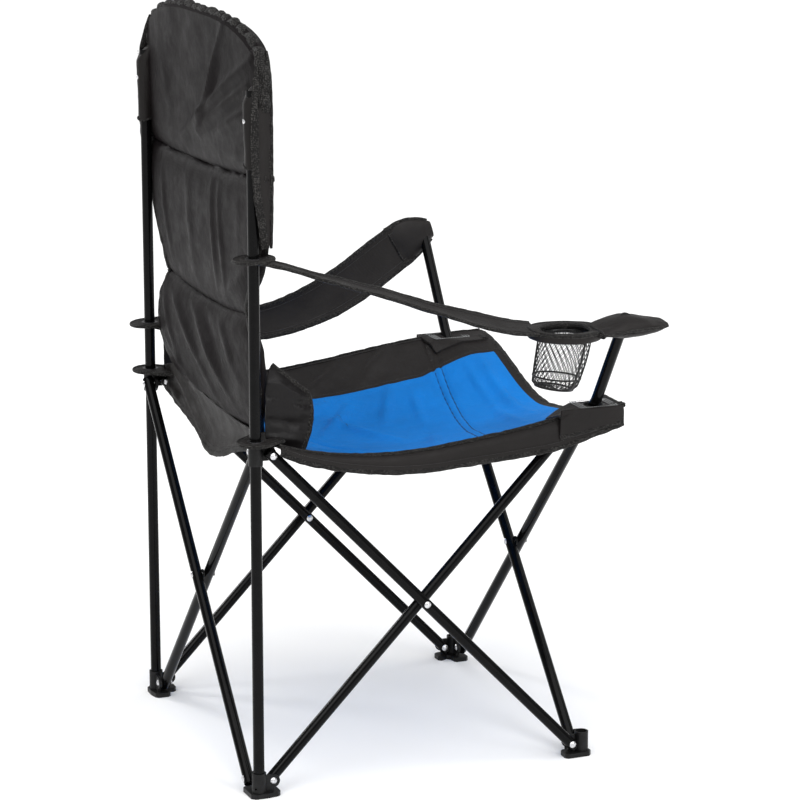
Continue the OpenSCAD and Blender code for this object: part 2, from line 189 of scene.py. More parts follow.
def shell(name, grid, over, under, mats=None, over_index=None, under_index=None):
    """Closed piece of cloth, black nylon if nothing is said, round a grid of points, with a rounded rim."""
    grid = asarray(grid, float)
    nu, nv = grid.shape[:2]
    normal = grid_normals(grid)
    over = broadcast_to(over, (nu, nv))[..., None]
    under = broadcast_to(under, (nu, nv))[..., None]
    verts = [*(grid + normal * over).reshape(-1, 3), *(grid - normal * under).reshape(-1, 3)]
    faces = grid_faces(nu, nv) + grid_faces(nu, nv, nu * nv, flip=True)
    index = []
    for chosen in (over_index, under_index):
        index += [0] * ((nu - 1) * (nv - 1)) if chosen is None else list(asarray(chosen).reshape(-1))
    rim = [(i, 0) for i in range(nu)] + [(nu - 1, j) for j in range(1, nv)]
    rim += [(i, nv - 1) for i in range(nu - 2, -1, -1)] + [(0, j) for j in range(nv - 2, 0, -1)]
    first = len(verts)
    for i, j in rim:
        inner = grid[min(max(i, 1), nu - 2), min(max(j, 1), nv - 2)]
        middle = grid[i, j] + normal[i, j] * (over[i, j] - under[i, j]) / 2
        verts.append(middle + unit(grid[i, j] - inner) * (over[i, j] + under[i, j]) * 0.3)
    for k in range(len(rim)):
        m = (k + 1) % len(rim)
        a, b = rim[k][0] * nv + rim[k][1], rim[m][0] * nv + rim[m][1]
        faces.append((a, first + k, first + m, b))
        faces.append((first + k, a + nu * nv, b + nu * nv, first + m))
        index += [0, 0]
    return make_mesh(name, verts, faces, mats or [NYLON], index)


def sweep(path, across, half_w, half_t, mat, sides=10, closed=False):
    """Rounded strip along a path; `across` are the directions of its thickness."""
    path = asarray(path, float)
    n = len(path)
    along = unit(np.roll(path, -1, 0) - np.roll(path, 1, 0)) if closed else unit(gradient(path, axis=0))
    across = unit(asarray(across, float) * np.ones((n, 1)))
    side = unit(cross(along, across))
    across = cross(side, along)
    half_w = broadcast_to(half_w, n)[:, None]
    half_t = broadcast_to(half_t, n)[:, None]
    rings = [path + side * half_w * cos(a) + across * half_t * sin(a) for a in round_turn(sides)]
    verts = stack(rings, 1).reshape(-1, 3)
    return make_mesh("strip", verts, tube_faces(n, sides, closed=closed), [mat], smooth_angle=60)


def circle(middle, rx, ry, angles):
    """Points round an ellipse that lies flat about a place."""
    return stack([middle[0] + rx * cos(angles), middle[1] + ry * sin(angles)], 1)


def lifted(flat, z):
    """A flat path at its heights."""
    return np.column_stack([flat, broadcast_to(z, len(flat))])


def resample(path, spacing):
    """The same path with evenly spaced points."""
    path = asarray(path, float)
    steps = np.linalg.norm(np.diff(path, axis=0), axis=1)
    s = concatenate([[0], np.cumsum(steps)])
    count = max(2, int(round(s[-1] / spacing)) + 1)
    at = linspace(0, s[-1], count)
    return stack([np.interp(at, s, path[:, k]) for k in range(path.shape[1])], 1)


STITCH_RINGS = ((-1.0, 0.35), (-0.6, 1.0), (0.6, 1.0), (1.0, 0.35))
STITCH_SIDES = 6


def stitches(path, up, mat=None, pitch=0.0038, length=0.0026, radius=0.00045):
    """A row of thread stitches along a path; `up` is the surface's normal, one or one each."""
    path = asarray(path, float)
    up = asarray(up, float) * np.ones((len(path), 1))
    both = resample(hstack([path, up]), pitch)
    verts, faces = [], []
    for a, b in zip(both[:-1], both[1:]):
        mid = (a[:3] + b[:3]) / 2
        along = unit(b[:3] - a[:3])
        lift = unit(a[3:] - along * (a[3:] @ along))
        side = cross(along, lift)
        start = len(verts)
        for s, r in STITCH_RINGS:
            for k in range(STITCH_SIDES):
                turn = 2 * pi * k / STITCH_SIDES
                ring = side * cos(turn) + lift * (0.35 + sin(turn))
                verts.append(mid + along * s * length / 2 + ring * r * radius)
        faces += tube_faces(len(STITCH_RINGS), STITCH_SIDES, start)
    return make_mesh("stitches", verts, faces, [mat or THREAD_BLACK], smooth_angle=80)


def join(name, parts):
    """One mesh object out of several, keeping their materials."""
    mats, verts, faces, index = [], [], [], []
    for part in parts:
        start = len(verts)
        verts += [tuple(v.co) for v in part.data.vertices]
        slots = []
        for mat in part.data.materials:
            if mat not in mats:
                mats.append(mat)
            slots.append(mats.index(mat))
        for face in part.data.polygons:
            faces.append(tuple(start + i for i in face.vertices))
            index.append(slots[min(face.material_index, len(slots) - 1)])
        bpy.data.objects.remove(part)
    return make_mesh(name, verts, faces, mats, index, smooth_angle=50, shift=(0, 0, 0))


def stands(obj, body, slot, *nodes):
    """The piece rides that body and replaces those nodes of the CAD; the slot is not used."""
    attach(obj, body)
    if nodes:
        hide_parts(*nodes)


def fold_flat(obj):
    """The piece gets a mesh of its own."""
    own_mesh(obj)


# ---- materials ----


class Nodes:
    """A material's node tree, with short calls for what the finishes share."""

    def __init__(self, name):
        self.mat = bpy.data.materials.new(name)
        self.mat.use_nodes = True
        self.tree = self.mat.node_tree
        self.shader = self.tree.nodes["Principled BSDF"]
        self.where = self.tree.nodes.new("ShaderNodeTexCoord").outputs["Object"]

    def add(self, kind, inputs):
        """New node; each input gets a number or the socket that feeds it."""
        node = self.tree.nodes.new(kind)
        for key, value in inputs.items():
            if isinstance(value, (int, float)):
                node.inputs[key].default_value = value
            else:
                self.tree.links.new(value, node.inputs[key])
        return node

    def feed(self, out, name):
        self.tree.links.new(out, self.shader.inputs[name])

    def noise(self, scale, detail=3.0, rough=0.5):
        inputs = {"Scale": scale, "Detail": detail, "Roughness": rough, "Vector": self.where}
        return self.add("ShaderNodeTexNoise", inputs).outputs["Fac"]

    def wave(self, scale, direction, distortion=0.6):
        inputs = {"Scale": scale, "Distortion": distortion, "Detail": 1.0, "Vector": self.where}
        node = self.add("ShaderNodeTexWave", inputs)
        node.bands_direction = direction
        return node.outputs["Fac"]

    def math(self, operation, a, b):
        node = self.add("ShaderNodeMath", {0: a, 1: b})
        node.operation = operation
        return node.outputs[0]

    def ramp(self, fac, low, high, stops=(0.3, 0.7)):
        node = self.add("ShaderNodeValToRGB", {"Fac": fac})
        for element, stop, colour in zip(node.color_ramp.elements, stops, (low, high)):
            element.position = stop
            element.color = (*colour, 1) if len(colour) == 3 else (colour[0],) * 3 + (1,)
        return node.outputs["Color"]

    def bump(self, height, strength, distance, under=None):
        inputs = {"Strength": strength, "Distance": distance, "Height": height}
        if under is not None:
            inputs["Normal"] = under
        return self.add("ShaderNodeBump", inputs).outputs["Normal"]

    def set(self, **values):
        for key, value in values.items():
            self.shader.inputs[key.replace("_", " ")].default_value = value


def shade(colour, share):
    return tuple(c * share for c in colour)


WEAVE_SCALE = 0.314  # a wave texture's bands repeat every 0.314 / scale metres


def cloth(name, colour, pitch, rough, sheen, weave=0.35, crush=0.35, spread=0.22, tint=(1, 1, 1), fleck=None,
          gloss=0.16):
    """Woven cloth: crossed threads, soft creases, uneven colour and worn roughness."""
    n = Nodes(name)
    scale = WEAVE_SCALE / pitch
    threads = n.math("ADD", n.wave(scale, "X"), n.wave(scale, "Y"))
    threads = n.math("ADD", threads, n.wave(scale, "Z"))
    creases = n.noise(38, 4.0, 0.55)
    fibres = n.noise(900, 2.0, 0.7)
    tone = n.math("ADD", n.math("MULTIPLY", n.noise(9, 3.0), 0.75), n.math("MULTIPLY", fibres, 0.25))
    if fleck is None:
        n.feed(n.ramp(tone, shade(colour, 1 - spread), shade(colour, 1 + spread)), "Base Color")
    else:
        grain = n.math("ADD", n.math("MULTIPLY", threads, 0.2), 0.75)
        coarse = n.math("MULTIPLY", n.noise(520, 1.0, 0.4), grain)
        n.feed(n.ramp(coarse, shade(colour, 1 - spread), fleck, (0.5, 0.72)), "Base Color")
    n.feed(n.ramp(creases, (rough - 0.08,), (rough + 0.1,)), "Roughness")
    soft = n.bump(creases, crush, 0.004)
    woven = n.bump(n.math("ADD", threads, n.math("MULTIPLY", fibres, 0.8)), weave, 0.0003, soft)
    n.feed(woven, "Normal")
    n.set(Sheen_Weight=sheen, Sheen_Roughness=0.4, Specular_IOR_Level=gloss)
    n.shader.inputs["Sheen Tint"].default_value = (*tint, 1)
    return n.mat


def gloss_tube(name):
    """Black enamelled steel: glossy coat, faint orange peel, fine rubs."""
    n = Nodes(name)
    peel = n.noise(420, 2.0, 0.4)
    rubs = n.noise(60, 6.0, 0.75)
    n.feed(n.ramp(rubs, (0.0014, 0.0014, 0.0015), (0.0038, 0.0038, 0.004)), "Base Color")
    n.feed(n.ramp(rubs, (0.1,), (0.2,)), "Roughness")
    n.feed(n.bump(peel, 0.1, 0.0003), "Normal")
    n.set(Coat_Weight=0.05, Coat_Roughness=0.05, Specular_IOR_Level=0.08)
    return n.mat


def moulding(name, rough=0.42):
    """Black moulded plastic: fine grain, satin patches, paler scuffs."""
    n = Nodes(name)
    grain = n.noise(1500, 2.0, 0.6)
    scuffs = n.noise(120, 6.0, 0.8)
    n.feed(n.ramp(scuffs, (0.005, 0.005, 0.0052), (0.018, 0.018, 0.0185), (0.45, 0.8)), "Base Color")
    n.feed(n.ramp(scuffs, (rough - 0.1,), (rough + 0.12,)), "Roughness")
    n.feed(n.bump(grain, 0.25, 0.0003, n.bump(scuffs, 0.12, 0.0008)), "Normal")
    n.set(Specular_IOR_Level=0.2)
    return n.mat


def metal(name, low, high, rough, peel_scale=300):
    """Plated metal with fine scratches and uneven plating."""
    n = Nodes(name)
    patches = n.noise(peel_scale, 5.0, 0.7)
    lines = n.wave(400, "Z", 3.0)
    n.feed(n.ramp(patches, low, high), "Base Color")
    n.feed(n.ramp(patches, (rough - 0.08,), (rough + 0.14,)), "Roughness")
    n.feed(n.bump(lines, 0.08, 0.0002, n.bump(patches, 0.1, 0.0004)), "Normal")
    n.set(Metallic=1.0)
    return n.mat


NYLON = cloth("black_nylon_cloth", (0.012, 0.0104, 0.01), 0.0011, 0.44, 0.02, weave=0.25)
# A darker copy of the black nylon for the back: the darker base colour is painted shade on the upright back.
# The lower gloss is a shader setting, not colour.
BACK_NYLON_SHADED = cloth("black_nylon_back_painted_shade", (0.0095, 0.008, 0.0084), 0.0011, 0.4, 0.0, weave=0.25, gloss=0.034)
SATIN = cloth("black_satin_lining", (0.008, 0.0072, 0.0075), 0.0008, 0.32, 0.02, weave=0.12, crush=0.5)
BINDING = cloth("black_binding_tape", (0.0095, 0.0088, 0.0086), 0.0021, 0.62, 0.04, weave=1.0, spread=0.4,
                fleck=(0.04, 0.038, 0.036))
STRIP = cloth("black_coarse_strip", (0.008, 0.0074, 0.0072), 0.0024, 0.66, 0.04, weave=1.0,
              fleck=(0.045, 0.043, 0.041))
BLUE = cloth("blue_seat_cloth", (0.0, 0.1591, 0.528), 0.0011, 0.6, 0.03, weave=0.3, crush=0.6, spread=0.16,
             tint=(0.5, 0.8, 1))
THREAD_DARK = cloth("dark_thread", (0.004, 0.012, 0.03), 0.0007, 0.7, 0.1)
THREAD_GREY = cloth("grey_thread", (0.3, 0.31, 0.31), 0.0007, 0.65, 0.2)
THREAD_BLACK = cloth("black_thread", (0.03, 0.029, 0.029), 0.0007, 0.6, 0.2)
NET = cloth("black_net_cord", (0.012, 0.012, 0.012), 0.0007, 0.5, 0.2)
TUBE = gloss_tube("black_enamel_tube")
MOULDED = moulding("black_moulded_corner")
RING_PLASTIC = moulding("black_gloss_ring", 0.2)
ZINC = metal("zinc_rivet", (0.55, 0.55, 0.57), (0.82, 0.82, 0.83), 0.3)
EYELET = metal("dark_eyelet", (0.12, 0.12, 0.125), (0.32, 0.32, 0.33), 0.34)
CAP = moulding("black_plug", 0.35)


# ---- frame finishes ----

FINISHES = [
    (TUBE, ("rear_post", "rear_tube", "side_tube", "arm_tube")),
    (ZINC, ("cross_rivet", "foot_rivets", "slider_rivets", "bracket_rivets", "sleeve_rivet")),
    (MOULDED, ("cross_washer", "foot", "slider", "bracket")),
    (EYELET, ("seat_eyelet", "patch_eyelet", "arm_eyelet")),
    (CAP, ("arm_cap",)),
]
MOULDED_NODES = ("foot_rear", "foot_front", "slider_right", "slider_left", "bracket_right", "bracket_left")


def finish_frame():
    for name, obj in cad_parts.items():
        for mat, prefixes in FINISHES:
            if name.startswith(prefixes):
                obj.data.materials.clear()
                obj.data.materials.append(mat)
                break
        if name.startswith(MOULDED_NODES):
            bevel = obj.modifiers.new("soft_edges", "BEVEL")
            bevel.width = 0.0006
            bevel.segments = 2
            bevel.limit_method = "ANGLE"
            bevel.angle_limit = radians(50)


# ---- padded back ----

BACK_Y = 0.2335
BACK_EDGE = mm([
    (500, 170), (530, 190), (560, 222), (600, 234), (640, 226), (690, 186), (720, 200), (760, 232),
    (820, 256), (880, 262), (950, 262), (1200, 262),
])
ARCH_LOW = 1.028
ARCH_HIGH = 1.093
SEAM_HIGH = 0.88
SEAM_LOW = 0.69
BACK_HALF_T = 0.008
BACK_COLS = 96
UPPER_ROWS = 104
LOWER_ROWS = 52

BACK_RIDGES = mm([
    (-235, 1050, 80, 905, 9, 8.5), (-120, 1085, -10, 925, 8, 6.5), (-225, 1015, 20, 915, 8, 7),
    (-235, 985, -80, 930, 9, 6.5), (190, 1050, 130, 920, 16, 3), (-240, 950, -150, 905, 8, 3),
    (60, 1080, 150, 950, 22, -3), (-110, 1040, -30, 945, 10, -4), (195, 870, 140, 720, 9, 3.5),
    (60, 870, 30, 720, 13, 2.8), (-50, 872, -80, 715, 8, 4.2), (-85, 865, -120, 710, 8, 3.4),
    (-200, 750, -120, 705, 10, 3.5), (-180, 860, -170, 780, 14, 2.2), (150, 670, -60, 530, 10, 5.2),
    (60, 670, -140, 540, 9.5, 5), (200, 600, 60, 525, 9, 4), (-70, 670, -170, 590, 11, 4),
    (0, 660, -90, 600, 12, -3.5), (190, 660, 120, 560, 9, 3.5),
])


def seam_high(x):
    return SEAM_HIGH + 0.004 - 0.008 * (1 - (x / 0.262) ** 2) - 0.03 * x


def seam_low(x):
    return SEAM_LOW - 0.012 * (1 - (x / 0.21) ** 2)


def crease(x):
    """Height of the line where the back meets the seat."""
    return 0.514 + 0.35 * x**2 + 0.03 * x


def back_arch(u):
    return ARCH_LOW + (ARCH_HIGH - ARCH_LOW) * np.sqrt(clip(1 - abs(u) ** 3.0, 0, 1))


def pucker(points, away, reach, seed):
    """Gathers that die away from a sewn line."""
    shape = lumps(points * array([1, 0.2, 0.25]), 0.012, seed)
    return 0.0016 * shape * exp(-abs(away) / reach)


def back_section(rows, low_of, high_of, blue):
    """One sewn stretch of the back between two lines, and its left, top and right edges."""
    t = linspace(-1, 1, BACK_COLS)
    u = sign(t) * (1 - (1 - abs(t)) ** 1.35)
    v = linspace(0, 1, rows)
    u, v = meshgrid(u, v, indexing="ij")
    z = low_of(u) + (high_of(u) - low_of(u)) * v
    for _ in range(3):
        x = u * spline(BACK_EDGE, z)
        z = low_of(x / 0.262) + (high_of(u) - low_of(x / 0.262)) * v
    points = stack([x, np.zeros_like(x), z], -1)
    to_seam = minimum(abs(z - seam_high(x)), abs(z - seam_low(x)))
    to_seam = minimum(to_seam, z - crease(x) + 0.004)
    edge = (1 - abs(u)) * spline(BACK_EDGE, z)
    puff = (1 - exp(-to_seam / 0.022)) * (1 - exp(-(edge + 0.004) / 0.02))
    crease_in = exp(-to_seam / 0.007)
    wrinkle = folds(x, z, BACK_RIDGES) * clip(edge / 0.02, 0, 1)
    wrinkle += 0.0016 * lumps(points, 0.085, 3.0) + 0.0003 * lumps(points, 0.02, 7.0)
    wrinkle += pucker(points, to_seam, 0.014, 5.0) + pucker(points[..., [2, 1, 0]], edge, 0.012, 9.0)
    lean_in = 0.014 * clip((0.62 - z) / 0.1, 0, 1) ** 1.5
    y = BACK_Y - lean_in - 0.004 * crease_in
    grid = stack([x, y, z], -1)
    rear = BACK_HALF_T + 0.009 * puff - 0.0035 * crease_in + wrinkle * clip(puff + 0.3, 0, 1)
    front = BACK_HALF_T * 0.4 + 0.009 * puff - 0.002 * crease_in + 0.6 * wrinkle[::-1]
    front, rear = maximum(front, 0.002), maximum(rear, 0.002)
    mid_u, mid_z = (u[:-1, :-1] + u[1:, 1:]) / 2, (z[:-1, :-1] + z[1:, 1:]) / 2
    front_index = ((abs(mid_u) < 0.66) & (mid_z > blue[0]) & (mid_z < blue[1])).astype(int)
    piece = shell("section", grid, front, rear, [BACK_NYLON_SHADED, BLUE], front_index)
    middle = grid + grid_normals(grid) * ((front - rear) / 2)[..., None]
    return piece, middle[-1], middle[::-1, -1], middle[0]


def edge_tape(path, across, half_w, half_t, seed, ruffle=0.0012, mat=None):
    """Binding tape that is a little gathered along its length."""
    path = resample(path, 0.004)
    sway = unit(asarray(across, float)) * lumps(path, 0.016, seed)[:, None]
    lift = array(UP) * lumps(path, 0.011, seed + 8)[:, None]
    path = path + ruffle * (sway + 0.6 * lift)
    swell = 1 + 0.22 * lumps(path, 0.011, seed + 4)
    return sweep(path, across, half_w * swell, half_t * swell, mat or BINDING)


def ruffled(path, height, pitch, seed):
    """Path of the back's edge, moved in and out in uneven waves."""
    path = resample(path, 0.003)
    out = cross(gradient(path, axis=0), [0, 1, 0])
    out /= np.linalg.norm(out, axis=1)[:, None]
    run = np.arange(len(path)) * 0.003
    wave = sin(run * 2 * pi / pitch + 2.2 * lumps(path, 0.05, seed))
    return path + out * (wave * height - 0.0025)[:, None]


# coarse tape over the sleeve on each side of the back: height, distance from the middle and y
SIDE_STRIP = mm([
    (795, 260, 237.5), (830, 264, 243), (865, 266.2, 249), (900, 266.8, 252), (980, 266.8, 252.5),
    (1010, 265.5, 250.5), (1030, 262.2, 247), (1050, 256, 243), (1064, 247, 240),
])
WALL_FRONT_Y = 0.228


def side_wall(side):
    """Side of the padded back: a smooth wall, and a coarse strip that covers the sleeve."""
    z, t = spread(0.8, 1.05, 60, 10)
    strip = spline(SIDE_STRIP, z)
    y = WALL_FRONT_Y + (strip[..., 1] - WALL_FRONT_Y) * t
    x = strip[..., 0] - 0.0015 * (1 - t) - 0.0016 * cos(pi * t) ** 2
    x = x + 0.001 * lumps(stack([0 * z, y, z], -1), 0.022, 4.0 + side)
    grid = stack([side * x, y, z], -1)
    wall = shell("wall", grid if side < 0 else grid[:, ::-1], 0.0009, 0.0009)
    heights = linspace(0.795, 1.064, 90)
    line = spline(SIDE_STRIP, heights)
    path = stack([side * line[:, 0], line[:, 1], heights], 1)
    tape = edge_tape(path, (side, 0, 0), 0.0058, 0.0017, 7.0 + side, 0.0005, STRIP)
    front = stack([side * (line[:, 0] - 0.0025), 0 * heights + WALL_FRONT_Y, heights], 1)
    rim = edge_tape(front, (side, 0, 0), 0.0022, 0.0022, 9.0 + side, 0.0005)
    return [wall, tape, rim]


def finish_back(name, parts, body):
    pad = join(name + "_pad", parts)
    stands(pad, body, "black_nylon", name)
    fold_flat(pad)


def build_back():
    upper, left, top, right = back_section(UPPER_ROWS, lambda u: seam_low(u * 0.21), back_arch, (0.74, 1.055))
    around = vstack([left, top[1:-1], right[::-1]])
    heavy = vstack([left[-14:], top[1:-1], right[::-1][:14]])
    heavy = ruffled(heavy + [0, 0.002, 0.0002], 0.0034, 0.034, 6.0)
    parts = [
        upper,
        edge_tape(around + [0, 0.0065, 0], (0, 1, 0), 0.0042, 0.003, 1.0),
        edge_tape(around - [0, 0.0045, 0], (0, 1, 0), 0.0036, 0.0028, 2.0),
        edge_tape(heavy, (0, 1, 0), 0.0056, 0.0074, 3.0, 0.003, STRIP),
    ]
    finish_back("back_upper", parts + side_wall(-1) + side_wall(1), "rear_right")
    lower, left, _, right = back_section(
        LOWER_ROWS, lambda u: crease(u * 0.2), lambda u: seam_low(u * 0.21) - 0.0008, (0.56, 0.66))
    tapes = [edge_tape(path + [0, 0.005, 0], (0, 1, 0), 0.0036, 0.0028, seed)
             for path, seed in ((left, 5.0), (right, 6.0))]
    finish_back("back_lower", [lower] + tapes, "back_lower")


SLEEVE_LOW = 0.907
SLEEVE_R = 0.0118


def build_sleeve(side):
    """Fabric sleeve over the top of a rear post, closed and gathered at its end."""
    name = SIDES[side]
    turns, rows = 40, 34
    a = round_turn(turns)
    s = linspace(0, 1, rows)
    a, s = meshgrid(a, s, indexing="ij")
    z = SLEEVE_LOW + (POST_TOP + 0.006 - SLEEVE_LOW) * s
    r = SLEEVE_R + 0.0006 * sin(3 * a + 5 * s) - 0.0022 * clip((s - 0.93) / 0.07, 0, 1) ** 2
    pulled = clip((s - 0.78) / 0.22, 0, 1) ** 1.6
    r = r * (1 - 0.35 * pulled)
    x = side * (CORNER - 0.004 * pulled) + r * cos(a)
    y = CORNER - 0.01 * pulled + r * sin(a) - 0.004 * clip(-sin(a), 0, 1) ** 6
    z = z + 0.002 * sin(2 * a) * (1 - s)
    grid = stack([x, y, z], -1)
    grid = grid + 0.0007 * lumps(grid, 0.02, 3.0)[..., None] * stack([cos(a), sin(a), 0 * a], -1)
    post = array([side * CORNER, CORNER, 0])
    inner = post + (grid[:, :12] - post) * [0.8, 0.8, 1]
    whole = concatenate([inner[:, ::-1], grid], axis=1)
    verts = list(whole.reshape(-1, 3))
    rows = whole.shape[1]
    faces = grid_faces(turns, rows, wrap_u=True)
    cap = len(verts)
    verts.append(array([side * (CORNER - 0.004), CORNER - 0.01, POST_TOP + 0.0075]))
    for i in range(turns):
        faces.append((i * rows + rows - 1, ((i + 1) % turns) * rows + rows - 1, cap))
    body = make_mesh("sleeve", verts, faces, [NYLON])
    k = round_turn(turns)
    hem = circle(post, SLEEVE_R + 0.0004, SLEEVE_R + 0.0004, k)
    hem = lifted(hem, SLEEVE_LOW + 0.0015 + 0.002 * sin(2 * k))
    rim = sweep(hem, UP, 0.0011, 0.0016, BINDING, 8, True)
    heights = linspace(SLEEVE_LOW, POST_TOP, 30)
    row = stitches([(side * (CORNER - 0.004), CORNER + SLEEVE_R - 0.0005, z) for z in heights], (0, 1, 0))
    obj = join("sleeve_cloth_" + name, [body, rim, row])
    stands(obj, "rear_" + name, "black_nylon", "sleeve_" + name)


# ---- seat ----

EDGE_X = 0.268
PANEL_X = 0.18
SEAT_REAR = 0.222
FRONT_LIP = 0.302
SEAT_T = 0.0022
# y, and the heights of the left edge, the right edge and the middle of the seat
SEAT_HEIGHTS = mm([
    (-310, 535, 533, 475), (-260, 534, 528, 471), (-200, 529, 518, 463), (-150, 523, 509, 455),
    (-100, 516, 502, 448), (-50, 508, 496, 443), (0, 501, 491, 441), (50, 496, 489, 443),
    (100, 497, 491, 453), (150, 503, 497, 470), (200, 512, 508, 494), (235, 523, 520, 512),
])
SEAT_RIDGES = mm([
    (-20, -50, 100, 20, 9, 4.8), (30, 50, 140, -30, 8, 4.5), (-90, 20, 20, 90, 9, -4.5),
    (100, 80, 160, 0, 8, 4), (-150, -20, -100, 100, 9, 4), (-160, -60, -40, -100, 8, 3.6),
    (-60, -250, 170, -262, 7, 3.4), (-140, -205, 20, -225, 7, 3.4), (20, -228, 160, -236, 6, 2.6),
    (190, 20, 250, -60, 11, 4.5), (200, -80, 260, -140, 11, 4.5), (50, 150, -50, 100, 12, 4.5),
    (170, -110, 60, -60, 8, 3.6), (150, -140, 20, -110, 7, 2.8),
])
SEAM_GAP = 0.011


def seam_y(x):
    """The double seam across the seat, which runs a little askew."""
    return -0.1625 - 0.18 * x


def edge_z(x, y):
    """Height of the seat's edge, which sags more on the right."""
    heights = spline(SEAT_HEIGHTS, y)
    return where(asarray(x) < 0, heights[..., 1], heights[..., 0])


def seat_z(x, y):
    edge = edge_z(x, y)
    middle = spline(SEAT_HEIGHTS, y)[..., 2]
    away = clip(abs(x) / EDGE_X, 0, 1.2)
    front = clip((-0.17 - y) / 0.08, 0, 1)
    tight = where(x > 0, sin(minimum(away, 1) * pi / 2) ** 2, away**1.45)
    share = away**1.9 * (1 - front) + tight * front
    z = middle + (edge - middle) * share
    points = stack([x, y, 0 * x], -1)
    calm = clip((0.31 - abs(y)) / 0.05, 0, 1)
    rough = 0.0022 * lumps(points, 0.07, 11.0) + 0.0007 * lumps(points, 0.022, 4.0)
    z = z + calm * (1.6 * folds(x, y, SEAT_RIDGES) + rough)
    for off in (-SEAM_GAP / 2, SEAM_GAP / 2):
        z = z - 0.0022 * exp(-(((y - seam_y(x) - off) / 0.0026) ** 2))
    z = z + 0.0014 * exp(-(((y - seam_y(x)) / 0.004) ** 2))
    away = abs(abs(x) - PANEL_X)
    return z - 0.0012 * exp(-((away / 0.003) ** 2))


def seat_columns():
    inner = linspace(-PANEL_X, PANEL_X, 85)
    outer = linspace(PANEL_X, EDGE_X, 21)[1:]
    return concatenate([-outer[::-1], inner, outer])


def seat_grid(y0, y1, rows):
    x, y = meshgrid(seat_columns(), linspace(y0, y1, rows), indexing="ij")
    return stack([x, y, seat_z(x, y)], -1)


def panel_index(grid):
    mid = (grid[:-1, :-1] + grid[1:, 1:]) / 2
    inside = (abs(mid[..., 0]) < PANEL_X) & (mid[..., 1] > -FRONT_LIP + 0.014)
    return inside.astype(int)


def hang_edge(side, y0, y1, drops, rows=40):
    """Doubled side border that hangs from the seat's edge; it curves over and down."""
    y, s = spread(y0, y1, rows, 12)
    drop = spline(drops, y)
    top = edge_z(side, y) + 0.001
    out = EDGE_X - 0.004 + 0.011 * sin(minimum(s * 2.2, 1) * pi / 2)
    z = top - drop * clip(s - 0.08, 0, 1) ** 1.15 / 0.92**1.15
    x = side * (out + 0.0022 * lumps(stack([out, y, z], -1), 0.05, 2.0 + side))
    grid = stack([x, y, z], -1)
    return grid if side > 0 else grid[:, ::-1]


EDGE_DROPS = mm([
    (-310, 26), (-260, 34), (-200, 40), (-140, 36), (-80, 32), (0, 28), (80, 22), (150, 16), (210, 10),
    (235, 6),
])


def side_border(side, y0, y1):
    grid = hang_edge(side, y0, y1, EDGE_DROPS)
    border = shell("border", grid, 0.0016, 0.0016)
    low = grid[:, -1] if side > 0 else grid[:, 0]
    tape = edge_tape(low, (side, 0, 0), 0.0045, 0.0022, 6.0 + side, 0.0006)
    row = stitches(low + [side * 0.0026, 0, 0.009], (side, 0, 0))
    y = linspace(y0, y1, 60)
    top = stack([side * (EDGE_X + 0.001) + 0 * y, y, edge_z(side, y) + 0.0022], 1)
    piping = edge_tape(top, (side, 0, 0.5), 0.003, 0.0024, 11.0 + side, 0.0008)
    return [border, tape, row, piping]


def build_seat_half(name, body, y0, y1, rows, parts_of=None):
    grid = seat_grid(y0, y1, rows)
    seat = shell(name, grid, SEAT_T, SEAT_T, [NYLON, BLUE], panel_index(grid), panel_index(grid))
    parts = [seat] + (parts_of(grid) if parts_of else [])
    columns = seat_columns()
    for side in (-1, 1):
        at = int(np.argmin(abs(columns - side * (PANEL_X + 0.004))))
        parts.append(stitches(grid[at] + [0, 0, SEAT_T], UP))
        parts += side_border(side, y0, y1)
    obj = join(name, parts)
    stands(obj, body, "blue_seat_fabric", body)
    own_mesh(obj)


def front_parts(grid):
    """Front binding and the double cross seam."""
    parts = []
    parts.append(edge_tape(grid[:, 0] + [0, -0.001, 0], UP, 0.0055, 0.003, 8.0, 0.0006))
    columns = seat_columns()
    for off in (-SEAM_GAP / 2, SEAM_GAP / 2):
        y = seam_y(columns) + off
        path = stack([columns, y, seat_z(columns, y) + SEAT_T], -1)
        inner = abs(columns) < PANEL_X
        parts.append(stitches(path[inner], UP, THREAD_DARK, pitch=0.0034, length=0.003, radius=0.0009))
    return parts


def build_seat():
    build_seat_half("seat_front_cloth", "seat_front", -FRONT_LIP, 0.0, 96, front_parts)
    build_seat_half("seat_rear_cloth", "seat_rear", 0.0, SEAT_REAR, 70)


# skirt behind the seat: the hem's height along x, and the line under the back
SKIRT_HEM = mm([
    (-262, 512), (-246, 506), (-170, 492), (-86, 470), (-40, 454), (0, 444), (40, 441), (80, 456),
    (125, 470), (190, 481), (262, 497),
])
SKIRT_TOP = mm([
    (-262, 522), (-246, 521), (-175, 521), (-120, 519), (-40, 520), (40, 524), (120, 533), (190, 540),
    (262, 523),
])
SKIRT_RIDGES = mm([
    (200, 530, 60, 455, 8, 5), (100, 525, 20, 470, 8, 4), (-200, 515, -60, 470, 7, 4),
    (240, 500, 120, 475, 6, 4),
])


def build_skirt():
    """Rear border of the seat, hanging below the back between the two sliders."""
    x, s = spread(-0.262, 0.262, 116, 24)
    hem = spline(SKIRT_HEM, x)
    top = spline(SKIRT_TOP, x)
    z = hem + (top - hem) * s
    y = 0.229 - 0.01 * sin(pi * s) * clip(1 - (x / 0.26) ** 2, 0, 1) + 0.003 * s
    points = stack([x, 0 * x, z], -1)
    y = y + 0.0022 * lumps(points, 0.03, 8.0) + folds(x, z, SKIRT_RIDGES)
    grid = stack([x, minimum(y, 0.2325), z], -1)
    parts = [
        shell("skirt", grid, 0.0014, 0.0014),
        edge_tape(grid[:, 0], (0, 1, 0), 0.0045, 0.0024, 12.0, 0.0008),
        stitches(grid[:, 3] + [0, 0.0016, 0], (0, 1, 0)),
    ]
    obj = join("seat_rear_skirt", parts)
    stands(obj, "back_lower", "black_nylon")
    fold_flat(obj)


